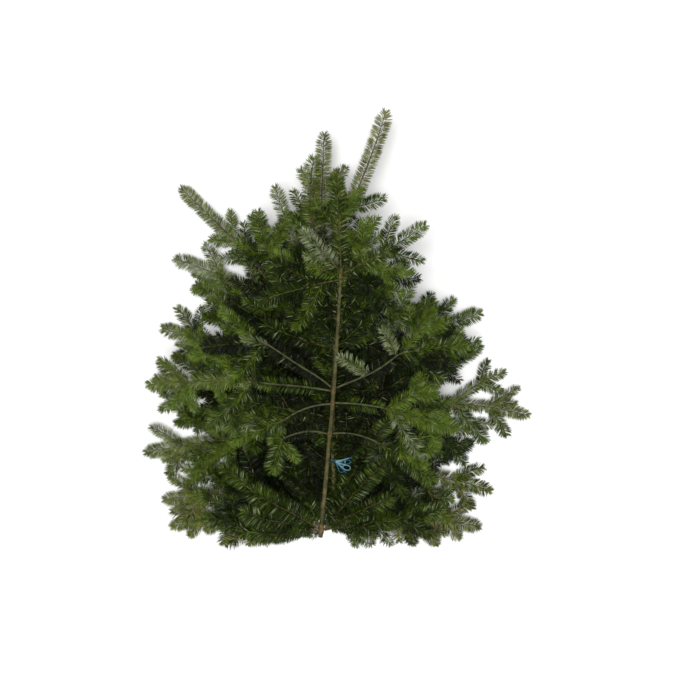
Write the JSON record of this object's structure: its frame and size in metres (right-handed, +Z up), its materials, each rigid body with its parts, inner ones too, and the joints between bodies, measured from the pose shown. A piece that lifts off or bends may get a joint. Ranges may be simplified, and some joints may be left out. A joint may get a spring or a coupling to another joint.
{
  "type": "bunch of cut nordmann fir boughs",
  "caption": "Bunch of cut Nordmann fir boughs fanned out flat on a floor, their bare stems crossed and tied with blue twine, with forking twigs and toothed sprays of dark green needles.",
  "frame": {"origin": "on the floor, under the middle of the bunch as it lies", "axes": "+Y runs from the cut ends of the stems towards the tips, +X is to the right as seen from above with the tips away from the viewer, +Z is up"},
  "size_m": [1.132, 1.3158, 0.2511],
  "materials": {
    "needles": "satin",
    "bark": "matte",
    "limb_bark": "matte",
    "twine": "satin"
  },
  "bodies": {
    "root": {"front_limb_side_left_1": "limb_bark", "front_limb_side_left_2": "limb_bark", "front_limb_side_left_3": "limb_bark", "front_limb_side_left_4": "limb_bark", "front_limb_side_right_1": "limb_bark", "front_limb_side_right_2": "limb_bark", "front_limb_side_right_4": "limb_bark", "front_needles_low_left_1": "needles", "front_needles_low_left_2": "needles", "front_needles_low_right_1": "needles", "front_needles_low_right_2": "needles", "front_needles_side_left_1": "needles", "front_needles_side_left_2": "needles", "front_needles_side_left_3": "needles", "front_needles_side_left_4": "needles", "front_needles_side_right_1": "needles", "front_needles_side_right_2": "needles", "front_needles_side_right_4": "needles", "front_needles_tip": "needles", "front_needles_top_left_1": "needles", "front_needles_top_left_2": "needles", "front_needles_top_left_3": "needles", "front_needles_top_right_1": "needles", "front_needles_top_right_2": "needles", "front_stem": "bark", "left_needles_low_left": "needles", "left_needles_side_left_1": "needles", "left_needles_side_left_2": "needles", "left_needles_side_left_3": "needles", "left_needles_side_left_4": "needles", "left_needles_tip": "needles", "left_needles_top_left": "needles", "left_needles_top_right": "needles", "left_stem": "bark", "right_needles_base_left_1": "needles", "right_needles_base_left_2": "needles", "right_needles_low_right_1": "needles", "right_needles_low_right_2": "needles", "right_needles_low_right_3": "needles", "right_needles_side_right_1": "needles", "right_needles_side_right_2": "needles", "right_needles_tip": "needles", "right_stem": "bark", "tall_left_needles_base_right": "needles", "tall_left_needles_low_left": "needles", "tall_left_needles_side_left_1": "needles", "tall_left_needles_side_left_2": "needles", "tall_left_needles_side_right": "needles", "tall_left_needles_tip": "needles", "tall_left_needles_tip_left": "needles", "tall_left_needles_top_left": "needles", "tall_left_stem": "bark", "tall_right_needles_side_left_1": "needles", "tall_right_needles_side_left_2": "needles", "tall_right_needles_side_right_1": "needles", "tall_right_needles_side_right_2": "needles", "tall_right_needles_tip": "needles", "tall_right_needles_top_right": "needles", "tall_right_stem": "bark", "twine": "twine"}
  },
  "joints": []
}
